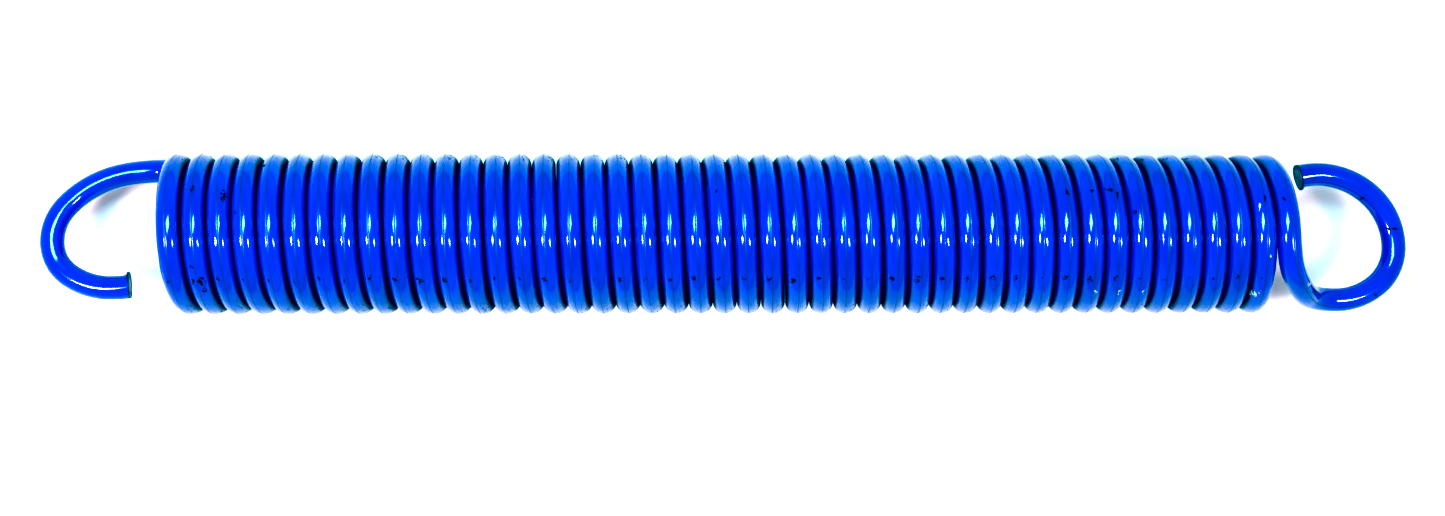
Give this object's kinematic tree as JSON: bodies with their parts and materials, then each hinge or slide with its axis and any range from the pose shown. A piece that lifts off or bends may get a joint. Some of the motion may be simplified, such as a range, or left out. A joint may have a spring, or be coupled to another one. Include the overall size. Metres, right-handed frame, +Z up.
{
  "type": "tension coil spring",
  "caption": "Close-wound round-wire tension spring, painted blue, with an open machine hook bent from each end of the coil, and turns that open evenly when it is pulled.",
  "frame": {"origin": "on the coil's axis, halfway between the far sides of the two hooks", "axes": "+X along the coil from the left hook to the right hook, +Y across the coil in the plane of both hook eyes, +Z up; the spring lies on its side"},
  "size_m": [0.4624, 0.054, 0.0542],
  "materials": {
    "blue_paint": "glossy thick blue enamel over drawn spring wire",
    "cut_steel": "dark sheared wire end"
  },
  "bodies": {
    "left_hook": {"left_hook": "blue_paint"},
    "turn_01": {"turn_01": "blue_paint"},
    "turn_02": {"turn_02": "blue_paint"},
    "turn_03": {"turn_03": "blue_paint"},
    "turn_04": {"turn_04": "blue_paint"},
    "turn_05": {"turn_05": "blue_paint"},
    "turn_06": {"turn_06": "blue_paint"},
    "turn_07": {"turn_07": "blue_paint"},
    "turn_08": {"turn_08": "blue_paint"},
    "turn_09": {"turn_09": "blue_paint"},
    "turn_10": {"turn_10": "blue_paint"},
    "turn_11": {"turn_11": "blue_paint"},
    "turn_12": {"turn_12": "blue_paint"},
    "turn_13": {"turn_13": "blue_paint"},
    "turn_14": {"turn_14": "blue_paint"},
    "turn_15": {"turn_15": "blue_paint"},
    "turn_16": {"turn_16": "blue_paint"},
    "turn_17": {"turn_17": "blue_paint"},
    "turn_18": {"turn_18": "blue_paint"},
    "turn_19": {"turn_19": "blue_paint"},
    "turn_20": {"turn_20": "blue_paint"},
    "turn_21": {"turn_21": "blue_paint"},
    "turn_22": {"turn_22": "blue_paint"},
    "turn_23": {"turn_23": "blue_paint"},
    "turn_24": {"turn_24": "blue_paint"},
    "turn_25": {"turn_25": "blue_paint"},
    "turn_26": {"turn_26": "blue_paint"},
    "turn_27": {"turn_27": "blue_paint"},
    "turn_28": {"turn_28": "blue_paint"},
    "turn_29": {"turn_29": "blue_paint"},
    "turn_30": {"turn_30": "blue_paint"},
    "turn_31": {"turn_31": "blue_paint"},
    "turn_32": {"turn_32": "blue_paint"},
    "turn_33": {"turn_33": "blue_paint"},
    "turn_34": {"turn_34": "blue_paint"},
    "turn_35": {"turn_35": "blue_paint"},
    "turn_36": {"turn_36": "blue_paint"},
    "turn_37": {"turn_37": "blue_paint"},
    "turn_38": {"turn_38": "blue_paint"},
    "turn_39": {"turn_39": "blue_paint"},
    "turn_40": {"turn_40": "blue_paint"},
    "turn_41": {"turn_41": "blue_paint"},
    "turn_42": {"turn_42": "blue_paint"},
    "turn_43": {"turn_43": "blue_paint"},
    "turn_44": {"turn_44": "blue_paint"},
    "turn_45": {"turn_45": "blue_paint"},
    "right_hook": {"right_hook": "blue_paint"}
  },
  "joints": [
    {"name": "stretch", "type": "slide", "parent": "left_hook", "child": "right_hook", "axis": [1, 0, 0], "range_m": [0, 0.16], "stiffness_N_per_m": 9000},
    {"name": "turn_01_opens", "type": "slide", "parent": "left_hook", "child": "turn_01", "axis": [1, 0, 0], "range_m": [0, 0.00406]},
    {"name": "turn_02_opens", "type": "slide", "parent": "left_hook", "child": "turn_02", "axis": [1, 0, 0], "range_m": [0, 0.00761]},
    {"name": "turn_03_opens", "type": "slide", "parent": "left_hook", "child": "turn_03", "axis": [1, 0, 0], "range_m": [0, 0.01117]},
    {"name": "turn_04_opens", "type": "slide", "parent": "left_hook", "child": "turn_04", "axis": [1, 0, 0], "range_m": [0, 0.01472]},
    {"name": "turn_05_opens", "type": "slide", "parent": "left_hook", "child": "turn_05", "axis": [1, 0, 0], "range_m": [0, 0.01828]},
    {"name": "turn_06_opens", "type": "slide", "parent": "left_hook", "child": "turn_06", "axis": [1, 0, 0], "range_m": [0, 0.02183]},
    {"name": "turn_07_opens", "type": "slide", "parent": "left_hook", "child": "turn_07", "axis": [1, 0, 0], "range_m": [0, 0.02539]},
    {"name": "turn_08_opens", "type": "slide", "parent": "left_hook", "child": "turn_08", "axis": [1, 0, 0], "range_m": [0, 0.02894]},
    {"name": "turn_09_opens", "type": "slide", "parent": "left_hook", "child": "turn_09", "axis": [1, 0, 0], "range_m": [0, 0.0325]},
    {"name": "turn_10_opens", "type": "slide", "parent": "left_hook", "child": "turn_10", "axis": [1, 0, 0], "range_m": [0, 0.03606]},
    {"name": "turn_11_opens", "type": "slide", "parent": "left_hook", "child": "turn_11", "axis": [1, 0, 0], "range_m": [0, 0.03961]},
    {"name": "turn_12_opens", "type": "slide", "parent": "left_hook", "child": "turn_12", "axis": [1, 0, 0], "range_m": [0, 0.04317]},
    {"name": "turn_13_opens", "type": "slide", "parent": "left_hook", "child": "turn_13", "axis": [1, 0, 0], "range_m": [0, 0.04672]},
    {"name": "turn_14_opens", "type": "slide", "parent": "left_hook", "child": "turn_14", "axis": [1, 0, 0], "range_m": [0, 0.05028]},
    {"name": "turn_15_opens", "type": "slide", "parent": "left_hook", "child": "turn_15", "axis": [1, 0, 0], "range_m": [0, 0.05383]},
    {"name": "turn_16_opens", "type": "slide", "parent": "left_hook", "child": "turn_16", "axis": [1, 0, 0], "range_m": [0, 0.05739]},
    {"name": "turn_17_opens", "type": "slide", "parent": "left_hook", "child": "turn_17", "axis": [1, 0, 0], "range_m": [0, 0.06094]},
    {"name": "turn_18_opens", "type": "slide", "parent": "left_hook", "child": "turn_18", "axis": [1, 0, 0], "range_m": [0, 0.0645]},
    {"name": "turn_19_opens", "type": "slide", "parent": "left_hook", "child": "turn_19", "axis": [1, 0, 0], "range_m": [0, 0.06806]},
    {"name": "turn_20_opens", "type": "slide", "parent": "left_hook", "child": "turn_20", "axis": [1, 0, 0], "range_m": [0, 0.07161]},
    {"name": "turn_21_opens", "type": "slide", "parent": "left_hook", "child": "turn_21", "axis": [1, 0, 0], "range_m": [0, 0.07517]},
    {"name": "turn_22_opens", "type": "slide", "parent": "left_hook", "child": "turn_22", "axis": [1, 0, 0], "range_m": [0, 0.07872]},
    {"name": "turn_23_opens", "type": "slide", "parent": "left_hook", "child": "turn_23", "axis": [1, 0, 0], "range_m": [0, 0.08228]},
    {"name": "turn_24_opens", "type": "slide", "parent": "left_hook", "child": "turn_24", "axis": [1, 0, 0], "range_m": [0, 0.08583]},
    {"name": "turn_25_opens", "type": "slide", "parent": "left_hook", "child": "turn_25", "axis": [1, 0, 0], "range_m": [0, 0.08939]},
    {"name": "turn_26_opens", "type": "slide", "parent": "left_hook", "child": "turn_26", "axis": [1, 0, 0], "range_m": [0, 0.09294]},
    {"name": "turn_27_opens", "type": "slide", "parent": "left_hook", "child": "turn_27", "axis": [1, 0, 0], "range_m": [0, 0.0965]},
    {"name": "turn_28_opens", "type": "slide", "parent": "left_hook", "child": "turn_28", "axis": [1, 0, 0], "range_m": [0, 0.10006]},
    {"name": "turn_29_opens", "type": "slide", "parent": "left_hook", "child": "turn_29", "axis": [1, 0, 0], "range_m": [0, 0.10361]},
    {"name": "turn_30_opens", "type": "slide", "parent": "left_hook", "child": "turn_30", "axis": [1, 0, 0], "range_m": [0, 0.10717]},
    {"name": "turn_31_opens", "type": "slide", "parent": "left_hook", "child": "turn_31", "axis": [1, 0, 0], "range_m": [0, 0.11072]},
    {"name": "turn_32_opens", "type": "slide", "parent": "left_hook", "child": "turn_32", "axis": [1, 0, 0], "range_m": [0, 0.11428]},
    {"name": "turn_33_opens", "type": "slide", "parent": "left_hook", "child": "turn_33", "axis": [1, 0, 0], "range_m": [0, 0.11783]},
    {"name": "turn_34_opens", "type": "slide", "parent": "left_hook", "child": "turn_34", "axis": [1, 0, 0], "range_m": [0, 0.12139]},
    {"name": "turn_35_opens", "type": "slide", "parent": "left_hook", "child": "turn_35", "axis": [1, 0, 0], "range_m": [0, 0.12494]},
    {"name": "turn_36_opens", "type": "slide", "parent": "left_hook", "child": "turn_36", "axis": [1, 0, 0], "range_m": [0, 0.1285]},
    {"name": "turn_37_opens", "type": "slide", "parent": "left_hook", "child": "turn_37", "axis": [1, 0, 0], "range_m": [0, 0.13206]},
    {"name": "turn_38_opens", "type": "slide", "parent": "left_hook", "child": "turn_38", "axis": [1, 0, 0], "range_m": [0, 0.13561]},
    {"name": "turn_39_opens", "type": "slide", "parent": "left_hook", "child": "turn_39", "axis": [1, 0, 0], "range_m": [0, 0.13917]},
    {"name": "turn_40_opens", "type": "slide", "parent": "left_hook", "child": "turn_40", "axis": [1, 0, 0], "range_m": [0, 0.14272]},
    {"name": "turn_41_opens", "type": "slide", "parent": "left_hook", "child": "turn_41", "axis": [1, 0, 0], "range_m": [0, 0.14628]},
    {"name": "turn_42_opens", "type": "slide", "parent": "left_hook", "child": "turn_42", "axis": [1, 0, 0], "range_m": [0, 0.14983]},
    {"name": "turn_43_opens", "type": "slide", "parent": "left_hook", "child": "turn_43", "axis": [1, 0, 0], "range_m": [0, 0.15339]},
    {"name": "turn_44_opens", "type": "slide", "parent": "left_hook", "child": "turn_44", "axis": [1, 0, 0], "range_m": [0, 0.15694]},
    {"name": "turn_45_opens", "type": "slide", "parent": "left_hook", "child": "turn_45", "axis": [1, 0, 0], "range_m": [0, 0.1605]}
  ],
  "couplings": [
    {"joint": "turn_01_opens", "follows": "stretch", "ratio": 0.022222},
    {"joint": "turn_02_opens", "follows": "stretch", "ratio": 0.044444},
    {"joint": "turn_03_opens", "follows": "stretch", "ratio": 0.066667},
    {"joint": "turn_04_opens", "follows": "stretch", "ratio": 0.088889},
    {"joint": "turn_05_opens", "follows": "stretch", "ratio": 0.11111},
    {"joint": "turn_06_opens", "follows": "stretch", "ratio": 0.13333},
    {"joint": "turn_07_opens", "follows": "stretch", "ratio": 0.15556},
    {"joint": "turn_08_opens", "follows": "stretch", "ratio": 0.17778},
    {"joint": "turn_09_opens", "follows": "stretch", "ratio": 0.2},
    {"joint": "turn_10_opens", "follows": "stretch", "ratio": 0.22222},
    {"joint": "turn_11_opens", "follows": "stretch", "ratio": 0.24444},
    {"joint": "turn_12_opens", "follows": "stretch", "ratio": 0.26667},
    {"joint": "turn_13_opens", "follows": "stretch", "ratio": 0.28889},
    {"joint": "turn_14_opens", "follows": "stretch", "ratio": 0.31111},
    {"joint": "turn_15_opens", "follows": "stretch", "ratio": 0.33333},
    {"joint": "turn_16_opens", "follows": "stretch", "ratio": 0.35556},
    {"joint": "turn_17_opens", "follows": "stretch", "ratio": 0.37778},
    {"joint": "turn_18_opens", "follows": "stretch", "ratio": 0.4},
    {"joint": "turn_19_opens", "follows": "stretch", "ratio": 0.42222},
    {"joint": "turn_20_opens", "follows": "stretch", "ratio": 0.44444},
    {"joint": "turn_21_opens", "follows": "stretch", "ratio": 0.46667},
    {"joint": "turn_22_opens", "follows": "stretch", "ratio": 0.48889},
    {"joint": "turn_23_opens", "follows": "stretch", "ratio": 0.51111},
    {"joint": "turn_24_opens", "follows": "stretch", "ratio": 0.53333},
    {"joint": "turn_25_opens", "follows": "stretch", "ratio": 0.55556},
    {"joint": "turn_26_opens", "follows": "stretch", "ratio": 0.57778},
    {"joint": "turn_27_opens", "follows": "stretch", "ratio": 0.6},
    {"joint": "turn_28_opens", "follows": "stretch", "ratio": 0.62222},
    {"joint": "turn_29_opens", "follows": "stretch", "ratio": 0.64444},
    {"joint": "turn_30_opens", "follows": "stretch", "ratio": 0.66667},
    {"joint": "turn_31_opens", "follows": "stretch", "ratio": 0.68889},
    {"joint": "turn_32_opens", "follows": "stretch", "ratio": 0.71111},
    {"joint": "turn_33_opens", "follows": "stretch", "ratio": 0.73333},
    {"joint": "turn_34_opens", "follows": "stretch", "ratio": 0.75556},
    {"joint": "turn_35_opens", "follows": "stretch", "ratio": 0.77778},
    {"joint": "turn_36_opens", "follows": "stretch", "ratio": 0.8},
    {"joint": "turn_37_opens", "follows": "stretch", "ratio": 0.82222},
    {"joint": "turn_38_opens", "follows": "stretch", "ratio": 0.84444},
    {"joint": "turn_39_opens", "follows": "stretch", "ratio": 0.86667},
    {"joint": "turn_40_opens", "follows": "stretch", "ratio": 0.88889},
    {"joint": "turn_41_opens", "follows": "stretch", "ratio": 0.91111},
    {"joint": "turn_42_opens", "follows": "stretch", "ratio": 0.93333},
    {"joint": "turn_43_opens", "follows": "stretch", "ratio": 0.95556},
    {"joint": "turn_44_opens", "follows": "stretch", "ratio": 0.97778},
    {"joint": "turn_45_opens", "follows": "stretch", "ratio": 1}
  ]
}
